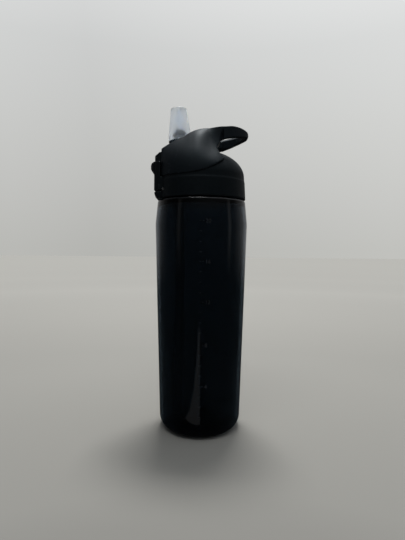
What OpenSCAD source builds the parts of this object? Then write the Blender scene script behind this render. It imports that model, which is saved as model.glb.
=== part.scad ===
// Rigid sports bottle with a screw lid, a flip-up drinking spout, a front latch
// and a carry loop. Millimetres, +Z up along the bottle's axis, base on z = 0.
// The spout and the latch are on the -X side, the carry loop reaches out to +X.

/* [Bottle] */
// Outer radius at the widest point, under the shoulder
belly_r = 38; // [37.6:0.1:39]
// Height of the widest point
belly_z = 168; // [150:1:172]
// Outer radius just above the base corner
foot_r = 32.9; // [30:0.1:34]
// Radius of the rounded base corner
foot_round = 5; // [3:0.5:6]
// Outer radius under the lid
shoulder_r = 36.7; // [36:0.1:37]
// Height of the shoulder that the lid comes down to
shoulder_z = 189; // [188.6:0.1:189.1]
// Wall thickness of the body
wall = 2.4; // [2:0.1:3]
// Outer radius of the neck
neck_r = 28.8; // [28.4:0.1:28.9]
// Inner radius of the mouth
mouth_r = 26.2; // [25:0.1:26.4]
// Height of the neck's rim
neck_top_z = 206.6; // [206:0.1:206.6]

/* [Screw thread] */
// Rise of the thread in one turn
pitch = 6; // [5.6:0.1:6.4]
// Turns of thread on the neck and in the lid
thread_turns = 1.25; // [1:0.25:1.25]

/* [Lid shell] */
// Outer radius of the lid's lower edge
cap_r = 37; // [36.8:0.1:37.4]
// Height of the lid's lower edge
cap_z = 189.4; // [189.4:0.1:190]
// Radius of the dome where it leaves the ring
dome_r = 35.8; // [35.6:0.1:36]
// Height at which the dome starts
dome_z = 208; // [207.6:0.1:208.2]
// Rise of the dome
dome_h = 22.8; // [22.4:0.2:23.4]

/* [Carry loop and cheeks] */
// Radius of the cheeks' foot round the bottle's axis
cheek_r = 36.6; // [36.5:0.1:37]
// Height of the cheeks' top over the bottle's axis
cheek_top_z = 243.8; // [243:0.2:244.4]
// Half the width of the channel that the spout folds into
channel_half = 11; // [10.8:0.1:11.4]
// How far the carry loop reaches behind the axis
loop_reach = 39.2; // [37:0.2:42]
// Half the outer width of the carry loop
loop_half = 19.6; // [19:0.2:21]

/* [Spout] */
// Pivot's distance in front of the axis
pivot_front = 18; // [17.5:0.1:18.5]
// Pivot's height
pivot_z = 230; // [229.8:0.1:230.4]
// Radius of the drum that turns in the seal
drum_r = 8.2; // [8:0.1:8.3]
// Half the drum's width
drum_half = 10; // [9.5:0.1:10]
// Forward lean of the raised spout, degrees
lean = 3.3; // [0:0.1:4]
// Length of the spout above the pivot
spout_len = 38.6; // [34:0.2:39]

/* [Latch] */
// Half the latch's width
latch_half = 17.8; // [17:0.1:17.8]
// Front face of the latch, in front of the axis
latch_front = 38.7; // [38.5:0.1:39]
// Height of the latch's pivot
latch_z = 196.5; // [196.2:0.1:196.8]

/* [Straw] */
// Outer radius of the straw
straw_r = 3.8; // [3.4:0.1:4]
// Height of the straw's lower end
straw_foot_z = 10; // [6:1:40]

/* [Hidden] */
$fn = 96;

far = 200;            // longer than anything it cuts
pivot_x = -pivot_front;
latch_x = -31;        // the latch's pivot, just inside the ring's side wall
crease_z = 204.2;     // where the ring steps in under the cheeks
crease_r = cap_r - 0.7;
cap_bore_r = 34;      // the shell's bore, which takes the liner
plate_z = 208;        // underside of the liner's plate
plate_t = 2.4;
plate_top_z = plate_z + plate_t;
skirt_in_r = 31.3;    // the liner's threaded skirt
skirt_out_r = 32.9;
dome_wall = 2.5;
cavity_r = 32.2;      // the hollow under the dome
cheek_foot_z = 209;   // where the cheeks' sides begin to curve in
floor_z = 219.6;      // floor of the channel in the dome
channel_end = 12;     // centre of the channel's round rear end
post_half = [10.4, 13.4];
post_r = 4.5;
pin_r = 1.5;
latch_pin_r = 0.9;
latch_spring_x = -36.6;
pocket_half = latch_half + 0.3;
pocket_r = 33.7;
sill_z = 194.6;       // top of the ring's sill, under the latch
latch_in_r = 34.4;
tower_r = 7.2;
flow_r = 3;
screw_at = [-2, 19];
vent_x = 12;
straw_bore_r = straw_r - 0.9;
straw_top_z = 201.4;
clear = 0.3;

// Points on an arc from angle a to angle b
function arc(c, r, a, b, n = 8) = [for (i = [0:n]) let (t = a + (b - a) * i / n) c + r * [cos(t), sin(t)]];

// Points on the quarter ellipse that a dome is turned from, from its rim to its top
function quarter(r, h, z, n = 20) = [for (i = [0:n]) let (t = 90 * i / n) [r * cos(t), z + h * sin(t)]];

// Closed skin through a list of rings that have the same number of points
module skin(rings) {
    m = len(rings[0]);
    last = len(rings) - 1;
    points = [for (ring = rings) each ring];
    sides = [for (i = [0:last - 1], k = [0:m - 1]) let (j = (k + 1) % m)
        [i * m + k, i * m + j, (i + 1) * m + j, (i + 1) * m + k]];
    low_end = [[for (k = [m - 1:-1:0]) k]];
    high_end = [[for (k = [0:m - 1]) last * m + k]];
    polyhedron(points, concat(sides, low_end, high_end), convexity = 10);
}

// Helical ridge of trapezoid section that starts at height z, outward or inward from its root
module ridge(root_r, crest_r, z, root_w, crest_w, steps = 30) {
    n = round(thread_turns * steps);
    section = [[root_r, -root_w / 2], [crest_r, -crest_w / 2], [crest_r, crest_w / 2], [root_r, root_w / 2]];
    outward = crest_r > root_r;
    skin([for (i = [0:n]) let (a = 360 * i / steps, h = z + pitch * i / steps)
        [for (k = [0:3]) let (p = section[outward ? k : 3 - k]) [p[0] * cos(a), p[0] * sin(a), h + p[1]]]]);
}

// Coil of round wire that starts at the origin's plane and rises along +Z
module coil(mean_r, wire_r, rise, turns, steps = 16, sides = 8) {
    n = round(turns * steps);
    skin([for (i = [0:n]) let (a = 360 * i / steps)
        [for (k = [0:sides - 1]) let (t = -360 * k / sides, r = mean_r + wire_r * cos(t))
            [r * cos(a), r * sin(a), rise * i / n - wire_r * sin(t)]]]);
}

// Side profile in X and Z, made into a slab that runs from one Y to another
module slab(points, y0, y1) {
    translate([0, y1, 0]) rotate([90, 0, 0]) linear_extrude(y1 - y0) polygon(points);
}

// Rod along Y at a place in X and Z
module rod(x, z, r, y0, y1) {
    translate([x, y1, z]) rotate([90, 0, 0]) cylinder(r = r, h = y1 - y0);
}

// The same thing on both sides of the middle plane
module both_sides() {
    children();
    mirror([0, 1, 0]) children();
}

// Turns what is modelled upright on the pivot into the raised spout's lean
module on_spout() {
    translate([pivot_x, 0, pivot_z]) rotate([0, -lean, 0]) children();
}

// Solid under a dome of revolution, down to height z0
module dome(r, h, z, z0) {
    rotate_extrude() polygon(concat([[0, z0], [r, z0]], quarter(r, h, z)));
}

// Plan of the front block that the sill and the latch share
module front_plan(half, round_r = 6) {
    back = 25;
    translate([-latch_front, 0]) union() {
        translate([round_r, -half]) square([back - round_r, 2 * half]);
        translate([0, -half + round_r]) square([back, 2 * (half - round_r)]);
        for (s = [-1, 1]) translate([round_r, s * (half - round_r)]) circle(r = round_r);
    }
}

module bottle_outline() {
    crest = arc([belly_r - 30, belly_z], 30, -2, 4.3, 6);
    polygon(concat([[0, 0]], arc([foot_r - foot_round, foot_round], foot_round, -90, 0),
                   crest, arc([shoulder_r - 2, shoulder_z - 2], 2, 0, 90),
                   [[neck_r, shoulder_z], [neck_r, neck_top_z - 0.6], [neck_r - 0.6, neck_top_z],
                    [0, neck_top_z]]));
}

module bottle_hollow() {
    inner_round = 3.5;
    low_r = foot_r - wall;
    polygon(concat([[0, wall]], arc([low_r - inner_round, wall + inner_round], inner_round, -90, 0),
                   arc([belly_r - wall - 30, belly_z], 30, -2, 4.3, 6),
                   arc([shoulder_r - wall - 4, shoulder_z - 7], 4, 0, 80),
                   [[mouth_r, shoulder_z - 1.6], [mouth_r, neck_top_z + 1], [0, neck_top_z + 1]]));
}

module bottle_body() {
    color("dimgray") union() {
        rotate_extrude() difference() {
            bottle_outline();
            bottle_hollow();
        }
        ridge(neck_r - 0.5, 30.6, 195.4, 3.2, 1.4);
    }
}

module cap_gasket() {
    gasket_z = neck_top_z + 0.1;
    color("white") rotate_extrude() translate([26.4, gasket_z]) square([4.6, plate_z - 0.05 - gasket_z]);
}

// Hollow of the channel, from its floor up
module channel_cut(half, z) {
    translate([0, 0, z]) linear_extrude(far) {
        translate([-far, -half]) square([far + channel_end, 2 * half]);
        translate([channel_end, 0]) circle(r = half);
    }
}

// Block that the channel in the dome is cut from, as seen from below
module channel_casing() {
    casing_half = channel_half + dome_wall;
    translate([0, 0, floor_z - 2.2]) linear_extrude(far) {
        translate([-far, -casing_half]) square([far + channel_end, 2 * casing_half]);
        translate([channel_end, 0]) circle(r = casing_half);
    }
}

module shell_outline() {
    lip = 0.5;
    polygon(concat([[0, cap_z], [cap_r - lip, cap_z], [cap_r, cap_z + lip], [crease_r, crease_z],
                    [dome_r + 0.2, crease_z + 0.6]], quarter(dome_r, dome_h, dome_z)));
}

module sill() {
    intersection() {
        translate([0, 0, cap_z]) linear_extrude(sill_z - cap_z) front_plan(latch_half);
        slab([[-30, cap_z], [-cap_r, cap_z], [-latch_front, sill_z - 1.4], [-latch_front, sill_z],
              [-30, sill_z]], -far, far);
    }
}

// Room for the latch in the front of the ring and the dome
module latch_pocket() {
    translate([0, 0, sill_z]) difference() {
        translate([-far, -pocket_half, 0]) cube([far - 25, 2 * pocket_half, 60]);
        translate([0, 0, -1]) cylinder(r = pocket_r, h = 62);
    }
}

module cap_shell() {
    boss_z = [224.4, 226.4];
    color("#26272a") difference() {
        union() {
            difference() {
                union() {
                    rotate_extrude() shell_outline();
                    sill();
                }
                latch_pocket();
                difference() {
                    intersection() {
                        dome(dome_r - dome_wall, dome_h - dome_wall, dome_z, plate_top_z + clear);
                        cylinder(r = cavity_r, h = far * 2);
                    }
                    channel_casing();
                    both_sides() translate([screw_at[0], screw_at[1], boss_z[0]])
                        cylinder(r = 3.4, h = boss_z[1] - boss_z[0]);
                }
                channel_cut(channel_half, floor_z);
            }
            both_sides() intersection() {
                rod(pivot_x, pivot_z, post_r, post_half[0], post_half[1]);
                translate([-far, 0, floor_z]) cube([far, far, far]);
            }
            both_sides() translate([pivot_x - post_r, post_half[0], floor_z])
                cube([2 * post_r, post_half[1] - post_half[0], pivot_z - floor_z]);
        }
        translate([0, 0, cap_z - 1]) cylinder(r = cap_bore_r, h = plate_top_z + clear - cap_z + 1);
        translate([pivot_x, 0, plate_z]) cylinder(r = tower_r + clear, h = 14);
        translate([vent_x, 0, floor_z - 5]) cylinder(r = 1.2, h = 8);
        both_sides() rod(pivot_x, pivot_z, pin_r + 0.02, 0, post_half[1] + 1);
        both_sides() rod(latch_x, latch_z, latch_pin_r + 0.02, 15, 25);
        both_sides() translate([screw_at[0], screw_at[1], 220]) cylinder(r = 1.4, h = 12);
        both_sides() translate([screw_at[0], screw_at[1], 216]) cylinder(r = 2.7, h = boss_z[0] - 216);
        rod(pivot_x - 3.6, pivot_z, 0.55, 10, 12.4);
    }
}

module thread_liner() {
    boss_z = 203;
    color("#1d1e20") union() {
        difference() {
            union() {
                translate([0, 0, plate_z]) cylinder(r = cap_bore_r - 0.1, h = plate_t);
                translate([0, 0, 191.2]) cylinder(r = skirt_out_r, h = plate_top_z - 191.2);
                translate([pivot_x, 0, plate_z]) cylinder(r = tower_r, h = 15);
            }
            translate([0, 0, 190]) cylinder(r = skirt_in_r, h = plate_z - 190);
            rod(pivot_x, pivot_z, drum_r + clear, -far, far);
            translate([pivot_x, 0, plate_z - 1]) cylinder(r = flow_r, h = 20);
            translate([pivot_x, 0, 217.6]) cylinder(r = 5.4, h = 8);
            translate([pivot_x, 0, plate_z - 1]) cylinder(r = 4.6, h = 1.9);
            translate([vent_x, 0, plate_z - 1]) cylinder(r = 1.25, h = 5);
            for (a = [0:90:270]) translate([vent_x, 0, 0]) rotate(a)
                translate([2.6, 0, plate_z - 1]) cylinder(r = 0.6, h = 5);
        }
        difference() {
            translate([pivot_x, 0, boss_z]) cylinder(r = 6.4, h = plate_z - boss_z);
            translate([pivot_x, 0, boss_z - 1]) cylinder(r = 4.6, h = 20);
        }
        ridge(skirt_in_r + 0.5, 29.5, 193.27, 3.1, 1.3);
    }
}

// Height of the cheeks' top edge at a place along X
function cheek_top(x) = cheek_top_z + 0.236 * x - 0.0052 * x * x;

// Right half of the arch that the cheeks' sides follow, as [half width, height]
function cheek_arch() = let (turn = 68,
    inward = (cheek_r - loop_half) / (1 - cos(turn)), rise = (245 - cheek_foot_z) / sin(turn))
    concat([for (t = [0:4:turn]) [cheek_r - inward * (1 - cos(t)), cheek_foot_z + rise * sin(t)]],
           [[loop_half - 0.4, 250]]);

// Solid under both cheeks' outer skin: an arch that runs along X, inside a round wall
module cheek_block() {
    right = cheek_arch();
    left = [for (i = [len(right) - 1:-1:0]) [-right[i][0], right[i][1]]];
    intersection() {
        translate([0, 0, 203]) cylinder(r = cheek_r, h = 60);
        translate([-far, 0, 0]) rotate([90, 0, 90]) linear_extrude(2 * far)
            polygon(concat([[cheek_r, 200]], right, left, [[-cheek_r, 200]]));
    }
}

// Side profile of the cheeks: flat foot, straight front, curved top, and the notch and tip at the rear
function cheek_profile() = concat(
    [[-33.2, 206.8]], [for (x = [-33.2:3.2:18]) [x, cheek_top(x)]], [[18, 236], [14.4, 234.4]],
    arc([17.2, 228.5], 5, 130, 218, 6),
    [[14.6, 222.4], [17.6, 219.6], [17.5, 218.6], [14.6, 216], [10, 212.9], [3.6, 209.9], [-2, 208.2],
     [-8, 207.2], [-14.3, 206.8]]);

// Side profile of the carry loop
function loop_profile() = concat(
    [[2, 243], [2, 236], [14, 234.8], [18, 236], [23, 237.6], [30, 239.6], [loop_reach - 3.4, 240.9]],
    arc([loop_reach - 2.6, 243.4], 2.6, -60, 60, 6),
    [[30, 246.4], [22, 246.4], [15, 246], [8, 245.2]]);

module loop_plan() {
    start = 8;
    inner_start = 14;
    inner_half = 14.6;
    difference() {
        union() {
            intersection() {
                translate([start, 0]) scale([(loop_reach - start) / loop_half, 1]) circle(r = loop_half);
                translate([start, -far]) square(2 * far);
            }
            polygon([[2, -17.6], [start, -loop_half], [start, loop_half], [2, 17.6]]);
        }
        intersection() {
            translate([inner_start, 0]) scale([(loop_reach - 5.4 - inner_start) / inner_half, 1])
                circle(r = inner_half);
            translate([inner_start, -far]) square(2 * far);
        }
        polygon([[0, -channel_half], [inner_start, -inner_half], [inner_start, inner_half],
                 [0, channel_half]]);
    }
}

module handle_shroud() {
    hollow = [[-30.2, 200], [-30.2, 226], [-22, 230.4], [-9, 236.4], [5, 240.4], [9.6, 240.4],
              [9.6, 226], [12, 219], [3, 200]];
    shell_t = 2.6;
    color("#2b2c2f") difference() {
        union() {
            intersection() {
                cheek_block();
                slab(cheek_profile(), -far, far);
            }
            intersection() {
                translate([0, 0, 230]) linear_extrude(25) loop_plan();
                slab(loop_profile(), -far, far);
            }
        }
        both_sides() difference() {
            intersection() {
                dome(cheek_r - shell_t, 30, 211, 200);
                slab(hollow, channel_half + shell_t, 16.6);
            }
            translate([screw_at[0], screw_at[1], 200]) cylinder(r = 3, h = 60);
        }
        dome(dome_r + 0.05, dome_h + 0.05, dome_z, 200);
        translate([-far, -channel_half, 200]) cube([far + 20, 2 * channel_half, 80]);
        both_sides() rod(pivot_x, pivot_z, post_r + 0.4, 0, post_half[1] + 0.4);
        both_sides() translate([pivot_x - post_r - 0.4, 0, 210])
            cube([2 * post_r + 0.8, post_half[1] + 0.4, pivot_z - 210]);
        both_sides() translate([screw_at[0], screw_at[1], 220]) cylinder(r = 1.22, h = 15.4);
        both_sides() translate([27, 30, 233.5]) cylinder(r = 13, h = 20);
    }
}

module shroud_screws() {
    color("silver") both_sides() translate([screw_at[0], screw_at[1], 0]) difference() {
        union() {
            translate([0, 0, 224.4]) cylinder(r = 1.2, h = 10.8);
            translate([0, 0, 222.7]) cylinder(r = 2.4, h = 1.65);
            translate([0, 0, 224.35]) cylinder(r = 1.2, h = 0.1);
        }
        for (a = [0, 90]) translate([0, 0, 222.7]) rotate(a) cube([2.6, 0.6, 1.8], center = true);
    }
}

// Side profile of the latch's plate: flat front, thumb ledge, and the foot of the hook
function latch_profile() = [
    [-29.5, 195.9], [-latch_front, 195.9], [-latch_front, 208.4], [-41.9, 213.4], [-42.5, 215],
    [-42.3, 216.8], [-41.2, 218.3], [-38.8, 219.2], [-33.6, 219.2], [-33.6, 206.4], [-29.5, 206.4]];

// Side profile of the hook over the plate
function hook_profile() = [
    [-38.6, 219], [-38.6, 224.4], [-38, 225.2], [-34.9, 228], [-33.4, 228.2], [-33.4, 219]];

module latch_button() {
    arm_y = [6.2, 9.4];   // the two catch arms that reach back to the drum
    color("#1f2023") difference() {
        union() {
            difference() {
                intersection() {
                    union() {
                        translate([0, 0, 190]) linear_extrude(32) front_plan(latch_half);
                        translate([-3.5, 0, 190]) linear_extrude(32) front_plan(latch_half - 1.6, 9);
                    }
                    slab(latch_profile(), -far, far);
                }
                translate([0, 0, 190]) cylinder(r = latch_in_r, h = 50);
            }
            slab(hook_profile(), -10.3, 10.3);
            both_sides() slab([[-33.5, 223.2], [-33.5, 228.2], [-30.4, 228.2], [-26.5, 227.7],
                               [-25.9, 226.4], [-26.6, 224.6]], arm_y[0], arm_y[1]);
            both_sides() rod(latch_x, latch_z, 1.5, 15.7, latch_half);
            both_sides() slab([[latch_x - 1.5, latch_z - 0.6], [-35, 195.9], [-35, 200],
                               [latch_x - 1, latch_z + 1.1]], 15.7, latch_half);
        }
        both_sides() rod(latch_x, latch_z, latch_pin_r + 0.05, 10, 30);
        translate([latch_spring_x, 0, 190]) cylinder(r = 1.6, h = 13.6);
    }
}

module latch_pins() {
    color("silver") both_sides() rod(latch_x, latch_z, latch_pin_r, 15.9, 19.5);
}

module latch_spring() {
    wire = 0.28;
    color("silver") translate([latch_spring_x, 0, sill_z + wire + 0.05]) coil(1.15, wire, 8.2, 6);
}

module spout_hub() {
    neck_h = 18.5;
    flange_z = 8.2;
    color("#2a3138") difference() {
        union() {
            rod(pivot_x, pivot_z, drum_r, -drum_half, drum_half);
            on_spout() {
                translate([0, 0, flange_z]) cylinder(r = 9.6, h = 1.4);
                translate([0, 0, 4]) cylinder(r = 5, h = neck_h - 4);
                translate([0, 0, neck_h - 4.4]) cylinder(r1 = 5.5, r2 = 5, h = 2.4);
                translate([-7, -8, 3]) cube([12.6, 16, flange_z - 2.6]);
            }
        }
        on_spout() translate([0, 0, -drum_r - 1]) cylinder(r = flow_r, h = neck_h + drum_r + 2);
        both_sides() rod(pivot_x, pivot_z, pin_r + 0.06, 7, drum_half + 1);
        difference() {
            rod(pivot_x, pivot_z, 5, 6.8, drum_half + 1);
            rod(pivot_x, pivot_z, 2.8, 0, drum_half + 2);
        }
        rod(pivot_x + 3.6, pivot_z, 0.55, 5, 8);
        both_sides() translate([pivot_x, 6, pivot_z]) rotate([0, -lean, 0])
            translate([-1, 0, -drum_r - 1]) cube([3.4, 3.6, 2.8]);
    }
}

module spout_mouthpiece() {
    base = 9.65;
    tip = spout_len;
    color("#d9dfe6", 0.8) on_spout() rotate_extrude() polygon(concat(
        [[5.04, base], [9.6, base], [9.5, base + 3], [9, 18], [7.9, 24.6], [7, 30]],
        arc([tip - 33.2 - 2, tip - 2], 2, 10, 90, 5),
        [[1.6, tip], [1.6, tip - 2.4], [flow_r, tip - 4.4], [flow_r, 18.7], [5.04, 18.6], [5.04, 16.6],
         [5.56, 14.1], [5.04, 14.05]]));
}

module spout_pins() {
    color("silver") both_sides() rod(pivot_x, pivot_z, pin_r, 7.3, 13.1);
}

module spout_spring() {
    wire = 0.4;
    mean = 3.6;
    color("silver") union() {
        translate([pivot_x, 7.5, pivot_z]) rotate([-90, 0, 0]) coil(mean, wire, 1.9, 2.5);
        rod(pivot_x + mean, pivot_z, wire * 0.9, 5.6, 7.5);
        rod(pivot_x - mean, pivot_z, wire * 0.9, 9.4, 12);
    }
}

module spout_seal() {
    color("white") translate([pivot_x, 0, 0]) difference() {
        translate([0, 0, 217.65]) cylinder(r = 5.35, h = 7);
        translate([0, 0, 217]) cylinder(r = flow_r, h = 9);
        rod(0, pivot_z, drum_r + 0.15, -far, far);
    }
}

module straw_adapter() {
    color("whitesmoke") translate([pivot_x, 0, 0]) difference() {
        union() {
            translate([0, 0, 202.9]) cylinder(r = 4.55, h = 5.9);
            translate([0, 0, 201.5]) cylinder(r = 5.6, h = 1.45);
            translate([0, 0, 188]) cylinder(r = straw_bore_r - 0.05, h = 14);
        }
        translate([0, 0, 187]) cylinder(r = 2, h = 23);
    }
}

module straw_tube() {
    color("gainsboro") translate([pivot_x, 0, straw_foot_z]) difference() {
        cylinder(r = straw_r, h = straw_top_z - straw_foot_z);
        translate([0, 0, -1]) cylinder(r = straw_bore_r, h = far * 2);
        translate([-10, 0, 0]) rotate([0, 28, 0]) translate([-20, -10, -11]) cube([40, 20, 6]);
    }
}

module vent_valve() {
    color("white") translate([vent_x, 0, 0]) rotate_extrude() polygon([
        [0, 206.9], [1.6, 206.95], [4.1, 207.5], [4.2, 207.95], [1.2, 207.95], [1.2, 210.5],
        [1.9, 210.55], [1.3, 212], [0, 212.3]]);
}

bottle_body();
cap_gasket();
cap_shell();
thread_liner();
handle_shroud();
shroud_screws();
latch_button();
latch_pins();
latch_spring();
spout_hub();
spout_mouthpiece();
spout_pins();
spout_spring();
spout_seal();
straw_adapter();
straw_tube();
vent_valve();
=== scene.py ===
"""Looks of a smoke-tinted sports bottle with a black screw lid, a flip-up silicone spout and a carry loop.

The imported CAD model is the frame. Lengths written here are millimetres, turned into metres where a mesh
is made; +Z is up, the spout is on the -X side and the camera looks along +Y.
"""

import math

import bmesh
import bpy
from mathutils import Matrix, Vector

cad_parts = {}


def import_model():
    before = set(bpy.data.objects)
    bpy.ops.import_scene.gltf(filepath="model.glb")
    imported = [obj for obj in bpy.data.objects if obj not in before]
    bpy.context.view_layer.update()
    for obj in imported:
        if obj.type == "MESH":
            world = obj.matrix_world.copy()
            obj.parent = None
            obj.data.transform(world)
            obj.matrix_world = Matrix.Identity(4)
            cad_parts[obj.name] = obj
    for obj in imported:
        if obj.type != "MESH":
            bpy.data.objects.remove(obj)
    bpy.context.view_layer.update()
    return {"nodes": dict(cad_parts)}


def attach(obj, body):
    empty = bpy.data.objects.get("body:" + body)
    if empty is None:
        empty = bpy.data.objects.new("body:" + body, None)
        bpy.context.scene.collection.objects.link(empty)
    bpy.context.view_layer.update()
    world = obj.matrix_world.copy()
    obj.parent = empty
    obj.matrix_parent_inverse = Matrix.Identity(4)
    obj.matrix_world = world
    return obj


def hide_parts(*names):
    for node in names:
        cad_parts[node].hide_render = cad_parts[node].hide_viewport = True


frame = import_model()
MM = 0.001

# Camera: where it stands, its roll in degrees, its lens, and its small shift, a share of the long side
CAMERA_AT = (1.25, -344, 148.4)
CAMERA_ROLL = 0.55
CAMERA_LENS = 27
CAMERA_SHIFT = -0.039

# Bottle, as turned round the Z axis
FOOT_R, FOOT_ROUND, FOOT_HOLLOW = 33.4, 11, 1.1
BELLY_R, BELLY_Z, CREST_ROUND = 38.5, 168, 30
CREST_FROM, CREST_TO = -2, 4.3
SHOULDER_R, SHOULDER_Z, SHOULDER_ROUND = 36.9, 189, 2.4
NECK_R, NECK_TOP, NECK_ROOT_ROUND, MOUTH_R, RIM_ROUND = 28.8, 206.6, 0.8, 26.2, 0.7
WALL, INNER_FOOT_ROUND, INNER_SHOULDER_ROUND = 2.4, 6.6, 4
THREAD_Z, THREAD_PITCH, THREAD_TURNS, THREAD_CREST = 195.4, 6, 1.25, 30.6
THREAD_HALF_ROOT, THREAD_HALF_CREST, THREAD_STEPS_A_TURN = 1.6, 0.7, 64

# Spout: its pivot in X and Z, the raised spout's forward lean in degrees, and the mouthpiece's top above the pivot
PIVOT_X, PIVOT_Z, LEAN = -18, 230, 3.3
MOUTHPIECE_TOP = 37.4

# Cheeks of the CAD: radius of the foot, half the channel, height of the foot and of the top, and their rear end
CHEEK_R, CHANNEL_HALF, CHEEK_FOOT_Z, CHEEK_TOP_Z, CHEEK_END_X = 36.6, 11, 209, 243.8, 17.6
# Their arch in the CAD: its top, and the degrees it curves through
ARCH_TOP_Z, ARCH_TURN = 245, 68
# Loop of the CAD: half width, reach, and the X where its oval starts
LOOP_HALF, LOOP_REACH, LOOP_OVAL_X = 19.6, 39.2, 8
# Moulded shape of both in the look: degrees the vault curves through, the slope and the fall of its top line, how
# fast it narrows, the loop's added width as a share, and how far the bars' section is sloped, as a share
VAULT_TURN, VAULT_SLOPE, VAULT_FALL, VAULT_NARROWS = 50, 0.236, 0.0052, 0.004
LOOP_WIDER, BAR_TOP_SLOPE, BAR_UNDER_SLOPE = 0.2, 0.5, 0.3
# Rises of the top: by how much, the X of the middle, its reach each way, and the heights it eases in between
CHEEK_RISES = [(1.5, -4, 10, 228, 241), (0.4, 9, 9, 236, 243)]
LOOP_RISE = (1.3, 30, 12, 240, 244.5)

# Floor's tone, with painted shade that makes it darker toward the spot under CAMERA_AT, and its faint painted glow
# far off, which stands in for light. Both are fixed on the floor, by distance from the spot under CAMERA_AT, as a
# share of FLOOR_SPAN metres
FLOOR_SPAN, FLOOR_HALF, FLOOR_CELLS = 4, 7000, 20
FLOOR_TINT = (1.03, 1, 0.92)
FLOOR_TONES_WITH_PAINTED_SHADE = [
    (0.053, 0.325), (0.062, 0.362), (0.093, 0.39), (0.124, 0.424), (0.185, 0.46), (0.366, 0.6), (1.0, 0.6),
]
FLOOR_PAINTED_GLOW = [
    (0.15, 0.0), (0.185, 0.028), (0.228, 0.066), (0.295, 0.125), (0.366, 0.195), (0.518, 0.278), (0.716, 0.308),
    (1.0, 0.32),
]

# Room that lights the object, by share of a turn: 0 and 1 are the camera's side, a quarter is -X, a half is behind
ROOM_WALLS = [
    (0.0, 0.008), (0.14, 0.01), (0.15, 0.1), (0.165, 0.1), (0.175, 0.01), (0.25, 0.012),
    (0.31, 0.08), (0.38, 0.2), (0.5, 0.32), (0.62, 0.22), (0.69, 0.14), (0.745, 0.04),
    (0.775, 0.02), (0.785, 0.16), (0.8, 0.16), (0.81, 0.014), (1.0, 0.008),
]
ROOM_UNDER = (0.004, 0.004, 0.004, 1)
# The room's ceiling, from -X to +X
ROOM_CEILING = [
    (0.0, (0.08, 0.087, 0.095)), (0.35, (0.2, 0.217, 0.235)), (0.5, (0.36, 0.39, 0.42)), (0.8, (0.5, 0.53, 0.56)),
]
# Backdrop that the camera sees, with painted light and shade: its colour by height, paler toward the top, and how far
# it is dimmed by painted shade from left to right
BACKDROP_PAINTED_LIGHT_BY_HEIGHT = [
    (0.0, (0.532, 0.534, 0.51)), (0.1, (0.571, 0.573, 0.554)), (0.28, (0.638, 0.644, 0.63)),
    (0.44, (0.70, 0.71, 0.705)), (0.52, (0.78, 0.79, 0.788)),
]
BACKDROP_PAINTED_SHADE_ACROSS = [(0.0, 0.91), (0.2, 0.86), (0.8, 0.96), (1.0, 1.0)]
BACKDROP_HALF = 0.42

# Lamps: name, place, what it is aimed at, width and height, and power in watts
LAMPS = [
    ("top", (25, 245, 1150), (0, 60, 60), (270, 200), 8.4),
    ("front_top", (-110, -420, 900), (0, 0, 200), (520, 90), 1.1),
    ("table_glint", (-15, -205, 2), (-15, -205, 500), (32, 300), 0.004),
]

# Printed scale: height of each number, where the ticks start round the wall, the step between ticks, and sizes
SCALE_HEIGHTS = {4: 43, 8: 75, 12: 108, 16: 139, 20: 170}
SCALE_FROM, SCALE_STEP = -1, 7.9
TICK_LENGTHS, TICK_HALF, FIGURE_GAP, FIGURE_SIZE = (3.4, 1.8, 1.8, 1.8), 0.2, 4.4, 4.4
PRINT_SUNK, PRINT_THICK = 0.04, 0.07


# ---------------------------------------------------------------------------------- mesh helpers


def arc(centre, radius, start, end, steps=10):
    """Points on an arc in (r, z), angles in degrees."""
    angles = [math.radians(start + (end - start) * i / steps) for i in range(steps + 1)]
    return [(centre[0] + radius * math.cos(a), centre[1] + radius * math.sin(a)) for a in angles]


def add_object(name, points, faces, body):
    """New smooth-shaded piece from points in millimetres, riding on a CAD body."""
    mesh = bpy.data.meshes.new(name)
    mesh.from_pydata([[MM * c for c in p] for p in points], [], faces)
    mesh.update()
    mesh.shade_smooth()
    piece = bpy.data.objects.new(name, mesh)
    bpy.context.collection.objects.link(piece)
    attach(piece, body)
    return piece


def tidy_mesh(piece, merge=0.002):
    """Joins doubled points and turns every face outward."""
    bm = bmesh.new()
    bm.from_mesh(piece.data)
    bmesh.ops.remove_doubles(bm, verts=bm.verts, dist=merge * MM)
    bmesh.ops.dissolve_degenerate(bm, edges=bm.edges, dist=merge * MM / 2)
    bmesh.ops.recalc_face_normals(bm, faces=bm.faces)
    bm.to_mesh(piece.data)
    bm.free()
    piece.data.shade_smooth()


def revolve(name, outline, body, steps=160, squash=None):
    """Turns a closed (r, z) outline round Z; squash(r, z) gives the X and Y scale of a ring."""
    squash = squash or (lambda r, z: (1, 1))
    points, faces = [], []
    for i in range(steps):
        turn = 2 * math.pi * i / steps
        for r, z in outline:
            sx, sy = squash(r, z)
            points.append((r * sx * math.cos(turn), r * sy * math.sin(turn), z))
    rings = len(outline)
    for i in range(steps):
        here, there = i * rings, (i + 1) % steps * rings
        for k in range(rings):
            j = (k + 1) % rings
            faces.append((here + k, there + k, there + j, here + j))
    piece = add_object(name, points, faces, body)
    tidy_mesh(piece)
    return piece


def sweep(name, centres, sections, body, slot=None):
    """Skin with closed ends through sections, each a list of points round its centre."""
    count = len(sections[0])
    points = [tuple(c[k] + p[k] for k in range(3)) for c, ring in zip(centres, sections) for p in ring]
    last = (len(sections) - 1) * count
    faces = [
        (i * count + k, i * count + (k + 1) % count, (i + 1) * count + (k + 1) % count, (i + 1) * count + k)
        for i in range(len(sections) - 1)
        for k in range(count)
    ]
    faces += [tuple(range(count)), tuple(last + k for k in range(count))]
    piece = add_object(name, points, faces, body)
    tidy_mesh(piece)
    return piece


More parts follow.
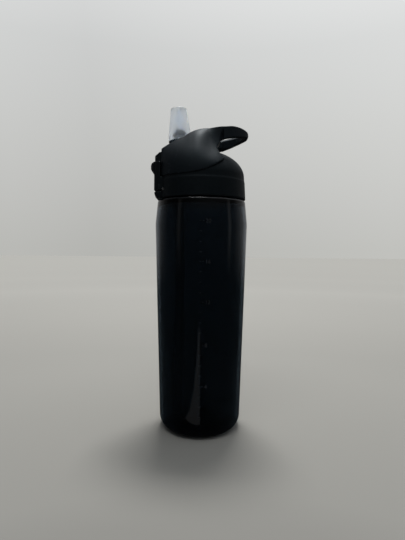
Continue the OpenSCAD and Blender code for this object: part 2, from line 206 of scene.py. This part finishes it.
def evaluated_mesh(piece):
    """The piece's mesh with its modifiers applied, which are then taken off."""
    depsgraph = bpy.context.evaluated_depsgraph_get()
    mesh = bpy.data.meshes.new_from_object(piece.evaluated_get(depsgraph))
    piece.modifiers.clear()
    piece.data = mesh


def even_skin(piece, voxel):
    skin = piece.modifiers.new("skin", "REMESH")
    skin.mode = "VOXEL"
    skin.voxel_size = voxel * MM * 1


def moulded(node, name, body, voxel, passes, reshape=None):
    """Copy of a CAD node with an even skin and softly moulded edges, which stands for that node.

    reshape(x, y, z) may move a point of the even skin before its edges are softened.
    """
    piece = bpy.data.objects.new(name, frame["nodes"][node].data.copy())
    bpy.context.collection.objects.link(piece)
    tidy_mesh(piece)
    even_skin(piece, voxel)
    evaluated_mesh(piece)
    if reshape:
        for vert in piece.data.vertices:
            vert.co = Vector(reshape(*(vert.co / MM))) * MM
        even_skin(piece, voxel)
    relax = piece.modifiers.new("relax", "SMOOTH")
    relax.factor = 0.5
    relax.iterations = passes
    evaluated_mesh(piece)
    piece.data.materials.clear()
    piece.data.shade_smooth()
    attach(piece, body)
    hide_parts(node)
    return piece


# ------------------------------------------------------------------------------- material helpers


class Nodes:
    """Short calls for the nodes of one shader tree."""

    def __init__(self, tree):
        self.tree = tree

    def new(self, kind, **settings):
        node = self.tree.nodes.new(kind)
        for key, value in settings.items():
            setattr(node, key, value)
        return node

    def link(self, a, b):
        self.tree.links.new(a, b)

    def spread(self, value, low, high):
        """Value as a share of the way from low to high."""
        node = self.new("ShaderNodeMapRange")
        node.inputs["From Min"].default_value = low
        node.inputs["From Max"].default_value = high
        self.link(value, node.inputs["Value"])
        return node.outputs["Result"]

    def ramp(self, value, stops):
        """Colours or greys by value; stops are (place, grey or colour)."""
        ramp = self.new("ShaderNodeValToRGB")
        elements = ramp.color_ramp.elements
        while len(elements) < len(stops):
            elements.new(0.5)
        for element, (at, tone) in zip(elements, stops):
            element.position = at
            element.color = (*tone, 1) if isinstance(tone, tuple) else (tone, tone, tone, 1)
        self.link(value, ramp.inputs["Fac"])
        return ramp.outputs["Color"]

    def two(self, operation, a, b):
        """Result of a sum on two values."""
        node = self.new("ShaderNodeMath", operation=operation)
        self.link(a, node.inputs[0])
        self.link(b, node.inputs[1])
        return node.outputs["Value"]

    def mix(self, share, a, b, blend="MIX"):
        """Colour between a and b; each input is a number or colour, or a socket."""
        node = self.new("ShaderNodeMix", data_type="RGBA", blend_type=blend)
        for name, value in (("Factor", share), ("A", a), ("B", b)):
            if isinstance(value, bpy.types.NodeSocket):
                self.link(value, node.inputs[name])
            else:
                node.inputs[name].default_value = value
        return node.outputs["Result"]


class Shader(Nodes):
    """A new material with one Principled shader, and short calls for the nodes that feed it."""

    def __init__(self, name, colour, roughness, **sockets):
        self.material = bpy.data.materials.new(name)
        self.material.use_nodes = True
        super().__init__(self.material.node_tree)
        self.bsdf = self.tree.nodes["Principled BSDF"]
        self.bsdf.inputs["Base Color"].default_value = (*colour, 1)
        self.bsdf.inputs["Roughness"].default_value = roughness
        for socket, value in sockets.items():
            self.bsdf.inputs[socket.replace("_", " ")].default_value = value
        self.place = self.new("ShaderNodeTexCoord").outputs["Object"]

    def noise(self, size, detail=2, stretch=(1, 1, 1)):
        """Noise whose features are about size millimetres, stretched along an axis."""
        mapping = self.new("ShaderNodeMapping")
        mapping.inputs["Scale"].default_value = [1 / s for s in stretch]
        texture = self.new("ShaderNodeTexNoise")
        texture.inputs["Scale"].default_value = 1 / (size * MM)
        texture.inputs["Detail"].default_value = detail
        self.link(self.place, mapping.inputs["Vector"])
        self.link(mapping.outputs["Vector"], texture.inputs["Vector"])
        return texture.outputs["Fac"]

    def vary(self, socket, value, stops):
        self.link(self.ramp(value, stops), self.bsdf.inputs[socket])

    def bump(self, height, depth, strength=1.0, after=None):
        """Bump of depth millimetres, on top of an earlier bump when one is given."""
        bump = self.new("ShaderNodeBump")
        bump.inputs["Strength"].default_value = strength
        bump.inputs["Distance"].default_value = depth * MM
        self.link(height, bump.inputs["Height"])
        if after:
            self.link(after, bump.inputs["Normal"])
        self.link(bump.outputs["Normal"], self.bsdf.inputs["Normal"])
        return bump.outputs["Normal"]

    def edges(self):
        """Value that rises above a half on convex edges."""
        return self.new("ShaderNodeNewGeometry").outputs["Pointiness"]


def black_plastic(name, tone, roughness, specular=0.28, grain=0.35, depth=0.03):
    """Moulded black plastic with a fine spark-eroded grain, faint handling marks, lighter convex edges, and painted
    shade that darkens its hollows and creases.
    """
    cool = (0.76, 0.93, 1.0, 1)
    shader = Shader(name, tone, roughness, Specular_IOR_Level=specular, Specular_Tint=cool)
    lighter = tuple(c * 1.9 + 0.004 for c in tone)
    hollow_painted_shade = tuple(c * 0.8 for c in tone)
    # painted shade: the base colour darkens in hollows and creases, and is lighter on convex edges
    shader.vary("Base Color", shader.edges(), [(0.44, hollow_painted_shade), (0.5, tone), (0.56, lighter)])
    shader.vary("Roughness", shader.noise(9, 4), [(0.3, roughness - 0.05), (0.7, roughness + 0.07)])
    fine = shader.bump(shader.noise(grain, 3), depth, 0.5)
    shader.bump(shader.noise(14, 1), 0.12, 0.4, after=fine)
    return shader.material


def smoke_plastic():
    """Dark blue-black tinted clear plastic, with the slight waviness of a moulded wall."""
    shader = Shader(
        "smoke_tinted_clear", (0.042, 0.058, 0.075), 0.035, Transmission_Weight=1.0, IOR=1.345,
        Coat_Weight=0.4, Coat_Roughness=0.03,
    )
    tint = [(0.35, (0.038, 0.054, 0.07)), (0.65, (0.046, 0.062, 0.079))]
    shader.vary("Base Color", shader.noise(60, 1), tint)
    shader.vary("Roughness", shader.noise(22, 5, (1, 1, 3)), [(0.42, 0.02), (0.72, 0.085)])
    shader.bump(shader.noise(30, 1, (1, 1, 6)), 0.1, 0.5)
    return shader.material


def clear_silicone():
    """Frosted, nearly colourless silicone."""
    shader = Shader(
        "frosted_silicone", (0.9, 0.94, 1.0), 0.36, Transmission_Weight=0.78, IOR=1.16,
        Subsurface_Weight=0.3, Subsurface_Radius=(0.9, 1.0, 1.2), Subsurface_Scale=0.003,
    )
    shader.vary("Base Color", shader.noise(6, 2), [(0.3, (0.87, 0.92, 0.99)), (0.7, (0.92, 0.96, 1.0))])
    shader.vary("Roughness", shader.noise(3, 4), [(0.3, 0.3), (0.7, 0.42)])
    shader.bump(shader.noise(0.5, 2), 0.02, 0.3)
    return shader.material


def milky_plastic():
    """Translucent natural polyethylene of the straw and its adapter."""
    shader = Shader("milky_straw", (0.8, 0.82, 0.84), 0.38, Transmission_Weight=0.3, IOR=1.5)
    shader.vary("Base Color", shader.noise(20, 2, (1, 1, 5)), [(0.3, (0.74, 0.77, 0.8)), (0.7, (0.86, 0.87, 0.88))])
    shader.bump(shader.noise(2, 2, (1, 1, 30)), 0.03, 0.3)
    return shader.material


def seal_rubber():
    """White silicone rubber of the seals and the vent valve."""
    shader = Shader("seal_rubber", (0.72, 0.73, 0.72), 0.55, Subsurface_Weight=0.2, Subsurface_Scale=0.001)
    shader.vary("Base Color", shader.noise(4, 3), [(0.3, (0.66, 0.67, 0.66)), (0.7, (0.76, 0.77, 0.76))])
    shader.bump(shader.noise(0.3, 2), 0.02, 0.4)
    return shader.material


def steel(name, roughness):
    """Drawn stainless steel with fine streaks along its length."""
    shader = Shader(name, (0.58, 0.57, 0.55), roughness, Metallic=1.0)
    shader.vary("Roughness", shader.noise(0.4, 2, (1, 12, 1)), [(0.3, roughness - 0.08), (0.7, roughness + 0.1)])
    shader.bump(shader.noise(0.2, 2, (1, 14, 1)), 0.01, 0.4)
    return shader.material


def print_ink():
    """Thin grey print, slightly worn through."""
    shader = Shader("scale_print", (0.02, 0.021, 0.022), 0.6)
    shader.vary("Base Color", shader.noise(0.8, 4), [(0.35, (0.006, 0.007, 0.009)), (0.55, (0.022, 0.023, 0.026))])
    return shader.material


def set_material(piece, material):
    piece.data.materials.clear()
    piece.data.materials.append(material)


# ------------------------------------------------------------------------------------- the bottle


def bottle_outline():
    """Closed outline of the tinted wall: up the outside, over the rim and down the inside."""
    crest = (BELLY_R - CREST_ROUND, BELLY_Z)
    outside = [(0, FOOT_HOLLOW), (19, FOOT_HOLLOW - 0.1), (21.5, 0.75), (23, 0.2), (24, 0)]
    outside += arc((FOOT_R - FOOT_ROUND, FOOT_ROUND), FOOT_ROUND, -90, 0, 20)
    outside += arc(crest, CREST_ROUND, CREST_FROM, CREST_TO, 16)
    outside += arc((SHOULDER_R - SHOULDER_ROUND, SHOULDER_Z - SHOULDER_ROUND), SHOULDER_ROUND, 4, 90, 14)
    outside += arc((NECK_R + NECK_ROOT_ROUND, SHOULDER_Z + NECK_ROOT_ROUND), NECK_ROOT_ROUND, 270, 180, 5)
    outside += arc((NECK_R - RIM_ROUND, NECK_TOP - RIM_ROUND), RIM_ROUND, 0, 90, 5)
    inside = arc((MOUTH_R + RIM_ROUND, NECK_TOP - RIM_ROUND), RIM_ROUND, 90, 180, 5)
    inside += [(MOUTH_R, SHOULDER_Z + 1), (MOUTH_R, SHOULDER_Z - 1)]
    inside += arc((SHOULDER_R - WALL - INNER_SHOULDER_ROUND, SHOULDER_Z - 7), INNER_SHOULDER_ROUND, 80, 4, 10)
    inside += arc((crest[0] - WALL, BELLY_Z), CREST_ROUND, CREST_TO, CREST_FROM, 16)
    inside += arc((FOOT_R - WALL - INNER_FOOT_ROUND, WALL + INNER_FOOT_ROUND), INNER_FOOT_ROUND, 0, -90, 14)
    return outside + inside + [(0, WALL)]


def thread_sections():
    """Centres and sections of the neck's thread, which rises from the wall at its ends."""
    steps = round(THREAD_TURNS * THREAD_STEPS_A_TURN)
    root = NECK_R - 0.4
    centres, sections = [], []
    for i in range(steps + 1):
        turn = 2 * math.pi * i / THREAD_STEPS_A_TURN
        fade = min(1, i / 6, (steps - i) / 6)
        out = root + (THREAD_CREST - root) * (0.25 + 0.75 * math.sin(fade * math.pi / 2))
        profile = [(root, -THREAD_HALF_ROOT), (out - 0.2, -THREAD_HALF_CREST - 0.15), (out, -THREAD_HALF_CREST + 0.2)]
        profile += [(r, -h) for r, h in reversed(profile)]
        centres.append((0, 0, THREAD_Z + THREAD_PITCH * i / THREAD_STEPS_A_TURN))
        sections.append([(r * math.cos(turn), r * math.sin(turn), h) for r, h in profile])
    return centres, sections


def bottle_pieces():
    material = smoke_plastic()
    shell = revolve("bottle_shell", bottle_outline(), "bottle", 224)
    thread = sweep("neck_thread", *thread_sections(), "bottle", "tinted_body")
    for piece in (shell, thread):
        set_material(piece, material)
        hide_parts("bottle_body")


def wall_radius(z):
    """Outer radius of the bottle between its foot and its crest."""
    low_r, low_z = FOOT_R, FOOT_ROUND
    crest = (BELLY_R - CREST_ROUND, BELLY_Z)
    high_r, high_z = arc(crest, CREST_ROUND, CREST_FROM, 0, 1)[0]
    if z <= high_z:
        return low_r + (high_r - low_r) * (z - low_z) / (high_z - low_z)
    return crest[0] + math.sqrt(CREST_ROUND**2 - (z - crest[1]) ** 2)


def on_wall(x, z, proud):
    """Point on the bottle's wall, x millimetres round from its front."""
    radius = wall_radius(z)
    turn = x / radius
    return ((radius + proud) * math.sin(turn), -(radius + proud) * math.cos(turn), z)


def figure_polygons(text, x, z, size):
    """Flat polygons of a number that starts at x, z."""
    curve = bpy.data.curves.new("figures", "FONT")
    curve.body, curve.size = text, size
    source = bpy.data.objects.new("figures", curve)
    bpy.context.collection.objects.link(source)
    flat = bpy.data.meshes.new_from_object(source.evaluated_get(bpy.context.evaluated_depsgraph_get()))
    bpy.data.objects.remove(source)
    places = [(x + vert.co.x, z + vert.co.y) for vert in flat.vertices]
    return [[places[k] for k in polygon.vertices] for polygon in flat.polygons]


def printed_scale():
    """Ticks and plain numbers of the fill scale, as a thin print on the wall."""
    ink = print_ink()
    for volume, height in SCALE_HEIGHTS.items():
        polygons = figure_polygons(str(volume), SCALE_FROM + FIGURE_GAP, height - 1.6, FIGURE_SIZE)
        for k, length in enumerate(TICK_LENGTHS):
            z = height - k * SCALE_STEP
            left, right, low, high = SCALE_FROM, SCALE_FROM + length, z - TICK_HALF, z + TICK_HALF
            polygons.append([(left, low), (right, low), (right, high), (left, high)])
        bm = bmesh.new()
        for polygon in polygons:
            bm.faces.new([bm.verts.new(Vector(on_wall(x, z, -PRINT_SUNK)) * MM) for x, z in polygon])
        bmesh.ops.remove_doubles(bm, verts=bm.verts, dist=0.005 * MM)
        raised = bmesh.ops.extrude_face_region(bm, geom=bm.faces[:])["geom"]
        for vert in [g for g in raised if isinstance(g, bmesh.types.BMVert)]:
            vert.co += Vector((vert.co.x, vert.co.y, 0)).normalized() * PRINT_THICK * MM
        bmesh.ops.recalc_face_normals(bm, faces=bm.faces)
        mesh = bpy.data.meshes.new(f"scale_{volume}")
        bm.to_mesh(mesh)
        bm.free()
        piece = bpy.data.objects.new(f"scale_{volume}", mesh)
        bpy.context.collection.objects.link(piece)
        set_material(piece, ink)
        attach(piece, "bottle")


# ---------------------------------------------------------------------------------------- the lid


def ease(value, low, high):
    """0 below low, 1 above high, and smooth between."""
    share = min(1, max(0, (value - low) / (high - low)))
    return share * share * (3 - 2 * share)


def hump(value, centre, reach):
    """1 at the centre, falling to 0 at reach on both sides of it."""
    return max(0, 1 - ((value - centre) / reach) ** 2)


def risen(x, z, by, centre, reach, low, high):
    """How much a point is lifted by one rise of the top."""
    return by * hump(x, centre, reach) * ease(z, low, high)


def lean_in(rise, turn):
    """How far a wall that curves through turn degrees has come in, as a share, at a share of its rise."""
    turn = math.radians(turn)
    return (1 - math.cos(math.asin(rise * math.sin(turn)))) / (1 - math.cos(turn))


def cheek_half(x, z, half, side, widen):
    """Half width at a point of the cheeks, taken from the CAD's arch to the moulded vault."""
    hold = CHANNEL_HALF + 4.2 * ease(x, 4, 14)
    if half <= hold:
        return half * widen
    foot = math.sqrt(max(CHEEK_R**2 - x**2, 1))
    rise = min(1, (z - CHEEK_FOOT_Z) / (ARCH_TOP_Z - CHEEK_FOOT_Z))
    arch = CHEEK_R - (CHEEK_R - LOOP_HALF) * lean_in(rise, ARCH_TURN)
    top_z = CHEEK_TOP_Z + VAULT_SLOPE * x - VAULT_FALL * x * x
    top_half = LOOP_HALF - VAULT_NARROWS * (x - LOOP_OVAL_X) ** 2
    rise = min(1, (z - CHEEK_FOOT_Z) / (top_z - CHEEK_FOOT_Z))
    vault = foot - (foot - top_half) * lean_in(rise, VAULT_TURN)
    target = vault + (side * widen - vault) * ease(x, -6, CHEEK_END_X) * ease(z, 212, 240)
    return hold * widen + (half - hold) * (target - hold * widen) / (min(arch, foot) - hold)


def carry_shape(x, y, z):
    """Takes a point of the CAD's cheeks and loop to the softer moulded shape.

    The cheeks go from an arch inside a round wall to one smooth vault that narrows into the loop. The loop's
    bars slope in toward the finger opening, above and below, and its top is a little arched.
    """
    half = abs(y)
    along = (x - LOOP_OVAL_X) / (LOOP_REACH - LOOP_OVAL_X)
    side = LOOP_HALF * math.sqrt(max(0, 1 - max(along, 0) ** 2))
    inward = LOOP_HALF - half if along < 0 else (1 - math.hypot(along, half / LOOP_HALF)) * LOOP_HALF
    widen = 1 + LOOP_WIDER * ease(x, 4, CHEEK_END_X) * (1 - ease(x, 24, 39))
    if CHEEK_FOOT_Z < z and x <= CHEEK_END_X:
        half = cheek_half(x, z, half, side, widen)
    elif CHEEK_END_X < x < CHEEK_END_X + 1.2 and half > side:
        half = side * widen
    else:
        half *= widen
    if x > 4:
        inward = min(6, max(0, inward - 0.8)) * ease(x, 4, 12)
        bar_top = min(246, 245 + (x - 8) * 0.1)
        bar_under = 234.8 + (x - 14) * 0.27
        z = min(z, bar_top + 0.2 - BAR_TOP_SLOPE * inward)
        if x > 15 and z > bar_under - 1:
            z = max(z, min(bar_under + BAR_UNDER_SLOPE * inward, z + 2))
    z += sum(risen(x, z, *rise) for rise in CHEEK_RISES)
    z += risen(x, z, *LOOP_RISE) * (1 - ease(inward, 0.3, 3.5))
    return x, math.copysign(half, y), z


def lid_pieces():
    ring = moulded("cap_shell", "lid_shell", "lid", 0.42, 4)
    set_material(ring, black_plastic("lid_black", (0.0034, 0.005, 0.0066), 0.5, 0.2))
    shroud = moulded("handle_shroud", "carry_shroud", "lid", 0.34, 14, carry_shape)
    set_material(shroud, black_plastic("shroud_black", (0.0042, 0.0064, 0.0094), 0.54))
    latch = moulded("latch_button", "front_latch", "latch", 0.3, 4)
    set_material(latch, black_plastic("latch_black", (0.0034, 0.0048, 0.006), 0.48))
    hub = moulded("spout_hub", "spout_drum", "spout", 0.26, 3)
    set_material(hub, black_plastic("hub_slate", (0.024, 0.036, 0.048), 0.4))


def mouthpiece():
    """Soft spout: a tapered sleeve over the hub's neck, with a small oval mouth."""
    top = MOUTHPIECE_TOP
    outer = arc((9.0, 10.25), 0.6, -90, 0, 5) + [(9.62, 11.6), (9.52, 12.8), (9.3, 15.4), (9.0, 18), (8.6, 21.2)]
    outer += [(8.1, 24.6), (7.7, 27.4), (7.35, 30), (6.9, 33.4)] + arc((5.2, top - 1.5), 1.5, 8, 90, 10)
    inner = arc((2.9, top - 1.1), 1.1, 90, 180, 6)
    inner += [(1.8, top - 2.6), (2.5, top - 4), (3.0, top - 5), (3.0, 18.8), (5.04, 18.6)]
    inner += [(5.04, 16.6), (5.56, 14.1), (5.04, 14.0), (5.04, 9.65)]

    def oval(r, z):
        reach = max(0, (z - 30) / (top - 30)) ** 1.5
        return (1, 1 - 0.1 * reach) if r > 4 else (1 - 0.25 * reach, 1 + 0.35 * reach)

    piece = revolve("mouthpiece", outer + inner, "spout", 96, oval)
    place = Matrix.Translation((MM * PIVOT_X, 0, MM * PIVOT_Z)) @ Matrix.Rotation(math.radians(-LEAN), 4, "Y")
    piece.data.transform(place)
    set_material(piece, clear_silicone())
    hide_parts("spout_mouthpiece")


def small_parts():
    """CAD nodes whose shape is right, and the material of each."""
    milky, rubber = milky_plastic(), seal_rubber()
    pins, springs = steel("pin_steel", 0.3), steel("spring_steel", 0.24)
    looks = {
        "thread_liner": black_plastic("liner_black", (0.009, 0.0095, 0.011), 0.42),
        "straw_tube": milky,
        "straw_adapter": milky,
        "cap_gasket": rubber,
        "spout_seal": rubber,
        "vent_valve": rubber,
        "latch_pins": pins,
        "spout_pins": pins,
        "shroud_screws": pins,
        "latch_spring": springs,
        "spout_spring": springs,
    }
    for node, material in looks.items():
        part = frame["nodes"][node]
        for slot in part.material_slots:
            slot.material = material
        if not part.material_slots:
            part.data.materials.append(material)


# -------------------------------------------------------------------------------------- the studio


def floor():
    """Wide pale floor with painted shade that darkens it near the spot under CAMERA_AT and a painted glow that makes
    it paler far off; gloss on the object sees a dark room instead of it.
    """
    across = [FLOOR_HALF * (2 * i / FLOOR_CELLS - 1) for i in range(FLOOR_CELLS + 1)]
    row = FLOOR_CELLS + 1
    points = [(x, y, 0) for y in across for x in across]
    corners = [k * row + i for k in range(FLOOR_CELLS) for i in range(FLOOR_CELLS)]
    mesh = bpy.data.meshes.new("studio_floor")
    mesh.from_pydata([[MM * c for c in p] for p in points], [], [(c, c + 1, c + row + 1, c + row) for c in corners])
    ground = bpy.data.objects.new("studio_floor", mesh)
    bpy.context.collection.objects.link(ground)
    ground.visible_glossy = False
    shader = Shader("floor_paint", (0.5, 0.5, 0.485), 0.9, Specular_IOR_Level=0.1)
    offset = shader.new("ShaderNodeVectorMath")
    offset.inputs[1].default_value = [-MM * c for c in (CAMERA_AT[0], CAMERA_AT[1], 0)]
    shader.link(shader.place, offset.inputs[0])
    far = shader.new("ShaderNodeVectorMath", operation="LENGTH")
    shader.link(offset.outputs["Vector"], far.inputs[0])
    share = shader.spread(far.outputs["Value"], 0, FLOOR_SPAN)
    # painted shade in the floor's base colour and painted light in its glow, both by distance from the spot under
    # CAMERA_AT
    for socket, stops in (("Base Color", FLOOR_TONES_WITH_PAINTED_SHADE), ("Emission Color", FLOOR_PAINTED_GLOW)):
        shader.vary(socket, share, [(at, tuple(tone * c for c in FLOOR_TINT)) for at, tone in stops])
    shader.bsdf.inputs["Emission Strength"].default_value = 1
    shader.bump(shader.noise(3, 3), 0.02, 0.2)
    set_material(ground, shader.material)


def world():
    """Pale backdrop with painted light and shade, paler high up and dimmed across; the light on the object is dark on
    the camera's side, rising to pale behind.
    """
    scene_world = bpy.data.worlds.new("studio")
    bpy.context.scene.world = scene_world
    scene_world.use_nodes = True
    nodes = Nodes(scene_world.node_tree)
    nodes.tree.nodes.clear()
    way = nodes.new("ShaderNodeSeparateXYZ")
    nodes.link(nodes.new("ShaderNodeTexCoord").outputs["Generated"], way.inputs["Vector"])
    x, y, z = (way.outputs[axis] for axis in "XYZ")

    walls = nodes.ramp(nodes.spread(nodes.two("ARCTAN2", x, y), -math.pi, math.pi), ROOM_WALLS)
    ceiling = nodes.ramp(nodes.spread(x, -1, 1), ROOM_CEILING)
    low_room = nodes.mix(nodes.spread(z, -0.12, 0), ROOM_UNDER, walls)
    room = nodes.mix(nodes.spread(z, 0.25, 0.8), low_room, ceiling)

    # painted light and shade on the backdrop: paler toward the top, and dimmed across, most on the left
    dimmed = nodes.ramp(nodes.spread(x, -BACKDROP_HALF, BACKDROP_HALF), BACKDROP_PAINTED_SHADE_ACROSS)
    backdrop = nodes.mix(1, nodes.ramp(z, BACKDROP_PAINTED_LIGHT_BY_HEIGHT), dimmed, "MULTIPLY")

    path = nodes.new("ShaderNodeLightPath")
    straight = nodes.two("MAXIMUM", path.outputs["Is Camera Ray"], path.outputs["Is Transmission Ray"])
    background = nodes.new("ShaderNodeBackground")
    nodes.link(nodes.mix(straight, room, backdrop), background.inputs["Color"])
    nodes.link(background.outputs["Background"], nodes.new("ShaderNodeOutputWorld").inputs["Surface"])


def area_light(name, at, aim, size, power):
    """Soft rectangular lamp at a place, aimed at another, in millimetres; the camera doesn't see it."""
    lamp = bpy.data.lights.new(name, "AREA")
    lamp.shape = "RECTANGLE"
    lamp.size, lamp.size_y = MM * size[0], MM * size[1]
    lamp.energy = power
    light = bpy.data.objects.new(name, lamp)
    bpy.context.collection.objects.link(light)
    light.visible_camera = False
    light.location = [MM * c for c in at]
    light.rotation_euler = (Vector(aim) - Vector(at)).to_track_quat("-Z", "Y").to_euler()


def camera():
    data = bpy.data.cameras.new("camera")
    data.lens = CAMERA_LENS
    data.sensor_width = 36
    data.shift_y = CAMERA_SHIFT
    eye = bpy.data.objects.new("camera", data)
    bpy.context.collection.objects.link(eye)
    eye.rotation_euler = (
        Matrix.Rotation(math.radians(90), 3, "X") @ Matrix.Rotation(math.radians(CAMERA_ROLL), 3, "Z")
    ).to_euler()
    eye.location = [MM * c for c in CAMERA_AT]
    bpy.context.scene.camera = eye


bottle_pieces()
printed_scale()
lid_pieces()
mouthpiece()
small_parts()
floor()
world()
for lamp in LAMPS:
    area_light(*lamp)
camera()
bpy.context.scene.view_settings.view_transform = "Standard"
